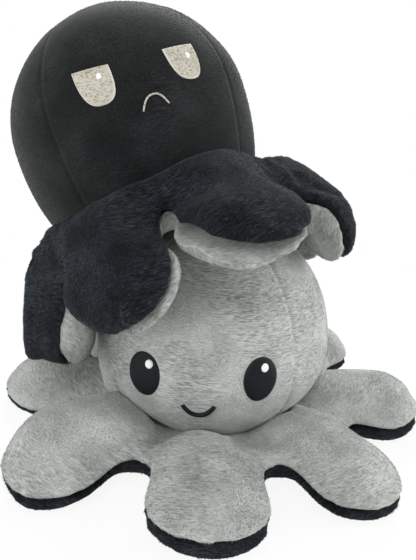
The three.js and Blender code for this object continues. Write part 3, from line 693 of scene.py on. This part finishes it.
def pile_tree(name, density, length, root, seed):
    """Grows tufts over a skin, combed away from the root. Each tapers to its tip."""
    tree = bpy.data.node_groups.new(name, "GeometryNodeTree")
    tree.interface.new_socket("Geometry", in_out="INPUT", socket_type="NodeSocketGeometry")
    tree.interface.new_socket("Geometry", in_out="OUTPUT", socket_type="NodeSocketGeometry")
    skin = add_node(tree, "NodeGroupInput").outputs[0]
    marked = add_node(tree, "GeometryNodeInputNamedAttribute", {"data_type": "FLOAT"}, {"Name": "pile"})
    dense = add_node(tree, "ShaderNodeMath", {"operation": "MULTIPLY"}, {0: marked.outputs[0], 1: density})
    points = add_node(tree, "GeometryNodeDistributePointsOnFaces", inputs={
        "Mesh": skin, "Density": dense.outputs[0], "Seed": seed})
    normal = points.outputs["Normal"]
    place = add_node(tree, "GeometryNodeInputPosition").outputs[0]
    away = vector_maths(tree, "NORMALIZE", vector_maths(tree, "SUBTRACT", place, root)[0])[0]
    upright = vector_maths(tree, "DOT_PRODUCT", away, normal)["Value"]
    flat = vector_maths(tree, "SUBTRACT", away, vector_maths(tree, "SCALE", normal, upright)[0])[0]
    comb = vector_maths(tree, "NORMALIZE", flat)[0]
    waves = add_node(tree, "ShaderNodeTexNoise", inputs={
        "Vector": place, "Scale": 1 / PILE_WAVE_SIZE, "Detail": 1.0})
    centred = vector_maths(tree, "SUBTRACT", waves.outputs["Color"], (0.5, 0.5, 0.5))[0]
    combed = vector_maths(tree, "ADD", comb, vector_maths(tree, "SCALE", centred, PILE_WAVES)[0])[0]
    jitter = add_node(tree, "FunctionNodeRandomValue", {"data_type": "FLOAT_VECTOR"}, {
        0: [-PILE_JITTER] * 3, 1: [PILE_JITTER] * 3, "Seed": seed + 1})
    lean = vector_maths(tree, "NORMALIZE", vector_maths(tree, "ADD", combed, jitter.outputs[0])[0])[0]
    low = vector_maths(tree, "SCALE", lean, math.tan(PILE_LEAN))[0]
    aim = vector_maths(tree, "ADD", low, normal)[0]
    turn = add_node(tree, "FunctionNodeAlignRotationToVector", {"axis": "Z"}, {"Vector": aim})
    tuft = add_node(tree, "GeometryNodeMeshCone", {"fill_type": "NGON"}, {
        "Vertices": 3, "Side Segments": 1, "Radius Top": 0.0, "Radius Bottom": PILE_WIDTH / 2,
        "Depth": length})
    sizes = add_node(tree, "FunctionNodeRandomValue", {"data_type": "FLOAT"}, {
        2: PILE_SIZES[0], 3: PILE_SIZES[1], "Seed": seed + 2})
    tufts = add_node(tree, "GeometryNodeInstanceOnPoints", inputs={
        "Points": points.outputs["Points"], "Instance": tuft.outputs[0], "Rotation": turn.outputs[0],
        "Scale": sizes.outputs[1]})
    real = add_node(tree, "GeometryNodeRealizeInstances", inputs={0: tufts.outputs[0]})
    add_node(tree, "NodeGroupOutput", inputs={0: real.outputs[0]})
    return tree


def map_pile(pile, centre, axis):
    """A map of the pile for baking: its directions from a centre, laid out flat about an axis."""
    turn = axis.rotation_difference(Vector((0, 0, 1))).to_matrix()
    mesh = pile.data
    ways = [turn @ (vert.co - centre) for vert in mesh.vertices]
    angles = [math.atan2(math.hypot(way.x, way.y), way.z) for way in ways]
    widest = max(angles)
    places = []
    for way, angle in zip(ways, angles):
        reach, bearing = angle / widest / 2, math.atan2(way.y, way.x)
        places.append((0.5 + reach * math.cos(bearing), 0.5 + reach * math.sin(bearing)))
    layer = mesh.uv_layers.new(name="OFBake")
    layer.uv.foreach_set("vector", [value for loop in mesh.loops for value in places[loop.vertex_index]])


def grow_pile(toy, skin, slot, finish, coat, root, centre, seed):
    """A coat is the tufts to a square metre, and their length."""
    pile = bpy.data.objects.new(f"{skin.name}_pile", skin.data.copy())
    bpy.context.scene.collection.objects.link(pile)
    modifier = pile.modifiers.new("pile", "NODES")
    modifier.node_group = pile_tree(
        f"{skin.name} pile", kept_density(skin, coat[0]), coat[1], root, seed)
    applied(pile)
    map_pile(pile, centre, toy.head.to_3x3() @ Vector((0, 0, 1)))
    return dress(pile, toy, slot, finish)


# Embroidery

def face_point(toy, turn, across, up, lift):
    """A point of the face, from a place across and up the cloth at a turn of the head."""
    rise = toy.crown_rise if up > 0 else toy.belly_drop
    return head_point(toy, turn + across / HEAD_RADIUS, math.asin(up / rise), lift)


def oval(width, height, narrowing=0.0):
    """An oval, narrowed by a share towards its foot."""
    turns = [2 * math.pi * i / PATCH_SIDES for i in range(PATCH_SIDES)]
    return [
        (width / 2 * math.cos(turn) * (1 + narrowing * math.sin(turn)), height / 2 * math.sin(turn))
        for turn in turns]


def lidded(width, height, slope, lean):
    """A half-shut eye: a straight sloping lid over a rounded lower edge, which leans aside."""
    side, low = width / 2, -height / 2
    out, down = LID_CORNER[0] * side, LID_CORNER[1] * low
    right, left, bottom = (side, (height - slope) / 2), (-side, (height + slope) / 2), (0, low)
    steps = PATCH_SIDES // 3
    edge = [Vector(right).lerp(Vector(left), i / steps) for i in range(steps)]
    falls = [
        (left, (-side, down), (-out, low), bottom),
        (bottom, (out, low), (side, down), right)]
    for fall in falls:
        edge += geometry.interpolate_bezier(*[Vector(knot) for knot in fall], steps + 1)[:-1]
    return [(point.x + lean * (0.5 - point.y / height), point.y) for point in edge]


def stitched_patch(toy, node, slot, turn, place, outline, height):
    """A patch of stitches that follows the head, from its outline about a place of the face."""
    bm = bmesh.new()
    bmesh.ops.create_uvsphere(bm, u_segments=PATCH_SIDES, v_segments=PATCH_ROWS, radius=1)
    borders = []
    for vert in bm.verts:
        share = min(1, math.hypot(vert.co.x, vert.co.y))
        bearing = math.atan2(vert.co.y, vert.co.x) / (2 * math.pi)
        x, y = outline[round(bearing * PATCH_SIDES) % PATCH_SIDES]
        rim = smooth_share((share - BORDER_START) / BORDER_FADE)
        full = (1 - share ** PATCH_FULLNESS) ** 0.5 if vert.co.z >= 0 else 0
        lift = (height + PATCH_DEPTH + BORDER_RISE * rim) * full - PATCH_DEPTH
        vert.co = face_point(toy, turn, place[0] + x * share, place[1] + y * share, lift)
        borders.append(rim)
    patch = dress(link_mesh(f"{node}_stitching", bm), toy, slot)
    set_attribute(patch.data, "border", "FLOAT", borders)
    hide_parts(node)
    return patch


def stitched_line(toy, node, slot, ends, depth, thickness, end_share):
    """A mouth of satin stitch: an arc on the face between its ends, thickest in its middle."""
    curve = bpy.data.curves.new(node, "CURVE")
    curve.dimensions = "3D"
    curve.bevel_depth = thickness / 2
    curve.bevel_resolution = 4
    curve.use_fill_caps = True
    spline = curve.splines.new("POLY")
    spline.points.add(MOUTH_STEPS)
    for i, point in enumerate(spline.points):
        share = i / MOUTH_STEPS
        sag = 1 - abs(2 * share - 1) ** MOUTH_POWER
        across, up = Vector(ends[0]).lerp(Vector(ends[1]), share) * MM
        point.co = (*face_point(toy, 0, across, up - depth * sag, PATCH_HEIGHT - thickness / 2), 1)
        point.radius = end_share + (1 - end_share) * sag
    line = bpy.data.objects.new(node, curve)
    bpy.context.scene.collection.objects.link(line)
    graph = bpy.context.evaluated_depsgraph_get()
    bm = bmesh.new()
    bm.from_mesh(line.evaluated_get(graph).to_mesh())
    bpy.data.objects.remove(line)
    bmesh.ops.remove_doubles(bm, verts=bm.verts, dist=MERGE_REACH)
    bmesh.ops.recalc_face_normals(bm, faces=bm.faces)
    piece = dress(link_mesh(f"{node}_stitching", bm), toy, slot)
    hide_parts(node)
    return piece


def stitched_eye(toy, side, slot, turn, place, outline, glint, glint_size):
    """An eye and its highlight. Places are across and up from the face's level line."""
    eye = stitched_patch(
        toy, f"{toy.name}_eye_{side}", slot, turn, Vector(place) * MM, outline, PATCH_HEIGHT)
    spot = stitched_patch(
        toy, f"{toy.name}_eye_glint_{side}", "white_thread", turn, (Vector(place) + Vector(glint)) * MM,
        oval(glint_size[0] * MM, glint_size[1] * MM), GLINT_HEIGHT)
    return [eye, spot]


def embroider_smile(toy):
    left = stitched_eye(
        toy, "left", "black_thread", turn=math.radians(-25.6), place=(-0.5, 0.8),
        outline=oval(16.4 * MM, 20.8 * MM, EYE_NARROWING), glint=(2.9, 5.8), glint_size=(4.1, 4.3))
    right = stitched_eye(
        toy, "right", "black_thread", turn=math.radians(25.6), place=(0.5, 3.6),
        outline=oval(15.6 * MM, 20.8 * MM, EYE_NARROWING), glint=(1.1, 5.7), glint_size=(3.8, 4.3))
    mouth = stitched_line(
        toy, f"{toy.name}_smile", "black_thread", ends=((-7.2, -9.4), (6.6, -8.3)), depth=5.0 * MM,
        thickness=2.4 * MM, end_share=0.8)
    return [*left, *right, mouth]


def embroider_frown(toy):
    left = stitched_eye(
        toy, "left", "off_white_thread", turn=math.radians(-19.7), place=(-0.35, 6.0),
        outline=lidded(16.3 * MM, 16.4 * MM, slope=1.7 * MM, lean=2 * MM),
        glint=(3.35, 2.9), glint_size=(2.4, 3.2))
    right = stitched_eye(
        toy, "right", "off_white_thread", turn=math.radians(19.7), place=(0.4, 7.2),
        outline=lidded(15.8 * MM, 15.2 * MM, slope=-1.4 * MM, lean=0.8 * MM),
        glint=(1.8, 2.1), glint_size=(2.4, 3.2))
    mouth = stitched_line(
        toy, f"{toy.name}_frown", "off_white_thread", ends=((-3.8, -8.9), (7.0, -8.3)), depth=-5.2 * MM,
        thickness=0.8 * MM, end_share=0.85)
    return [*left, *right, mouth]


# Stage

def add_softbox(name, place, power):
    data = bpy.data.lights.new(name, "AREA")
    data.energy = power
    data.shape = "DISK"
    data.size = SOFTBOX_SIZE
    lamp = bpy.data.objects.new(name, data)
    lamp.location = place
    lamp.rotation_euler = (Vector(STAGE_MIDDLE) - Vector(place)).to_track_quat("-Z", "Y").to_euler()
    bpy.context.scene.collection.objects.link(lamp)


def white_floor():
    bm = bmesh.new()
    bmesh.ops.create_grid(bm, x_segments=1, y_segments=1, size=FLOOR_SIZE)
    floor = link_mesh("floor", bm)
    material, tree, shader = new_material("white paper")
    shader.inputs["Base Color"].default_value = linear("#ebebe9")
    shader.inputs["Roughness"].default_value = 0.9
    rays = add_node(tree, "ShaderNodeLightPath").outputs["Is Camera Ray"]
    place = add_node(tree, "ShaderNodeTexCoord").outputs["Object"]
    distance = add_node(tree, "ShaderNodeVectorMath", {"operation": "LENGTH"}, {0: place})
    whiteness = add_node(tree, "ShaderNodeMapRange", inputs={
        "Value": distance.outputs["Value"], "From Min": FLOOR_FADE[0], "From Max": FLOOR_FADE[1],
        "To Min": FLOOR_WHITENESS})
    share = add_node(tree, "ShaderNodeMath", {"operation": "MULTIPLY"}, {0: rays, 1: whiteness.outputs[0]})
    glow = add_node(tree, "ShaderNodeEmission")
    shown = add_node(tree, "ShaderNodeMixShader", inputs={
        0: share.outputs[0], 1: shader.outputs[0], 2: glow.outputs[0]})
    tree.links.new(shown.outputs[0], tree.nodes["Material Output"].inputs["Surface"])
    floor.data.materials.append(material)


def white_world():
    world = bpy.data.worlds.new("studio")
    bpy.context.scene.world = world
    world.use_nodes = True
    tree = world.node_tree
    soft = tree.nodes["Background"]
    soft.inputs["Color"].default_value = (1, 1, 1, 1)
    soft.inputs["Strength"].default_value = WORLD_STRENGTH
    white = add_node(tree, "ShaderNodeBackground", inputs={"Color": (1, 1, 1, 1)})
    rays = add_node(tree, "ShaderNodeLightPath").outputs["Is Camera Ray"]
    shown = add_node(tree, "ShaderNodeMixShader", inputs={
        0: rays, 1: soft.outputs[0], 2: white.outputs[0]})
    tree.links.new(shown.outputs[0], tree.nodes["World Output"].inputs["Surface"])


def light_stage():
    white_floor()
    white_world()
    for softbox in SOFTBOXES:
        add_softbox(*softbox)
    bpy.context.scene.view_settings.view_transform = "Standard"


def dress_toy(toy, embroider, arms_centre, seed):
    """Makes one toy. Its arms' pile is mapped about a centre that sees all of it."""
    head = head_skin(toy)
    top, underside = make_arms(toy, head)
    inner_piece(toy, "finger_pocket", toy.inside, depth=1.2 * MM, spacing=9 * MM)
    inner_piece(toy, "head_stuffing", "polyester_stuffing", depth=3 * MM, spacing=14 * MM)
    middle = toy.head @ Vector((0, 0, 0))
    above = toy.head @ Vector((0, 0, 2 * HEAD_RADIUS))  # the head's pile is combed down from here
    mark_bare(head, [], embroider(toy), lambda vert: vert.normal.dot(vert.co - middle) < 0)
    mark_bare(top, [underside, head], [], lambda vert: False)
    mark_bare(underside, [top], [], lambda vert: vert.co.z < FLAT_REST)
    grow_pile(toy, head, toy.outside, toy.outside, (HEAD_DENSITY, HEAD_PILE), above, middle, seed)
    for skin, slot in ((top, toy.outside), (underside, toy.inside)):
        seed += 10  # clear of the seeds that the coat before used
        grow_pile(
            toy, skin, slot, ARM_FINISHES[slot], (ARM_DENSITY, ARM_PILE), middle, arms_centre, seed)


aim_camera()
materials = make_materials()
lower, upper = sitting_toy(), perched_toy()
dress_toy(lower, embroider_smile, arms_centre=Vector((0, 0, -30)) * MM, seed=1)
dress_toy(upper, embroider_frown, arms_centre=lower.head @ Vector((0, 0, 0)), seed=5)
light_stage()
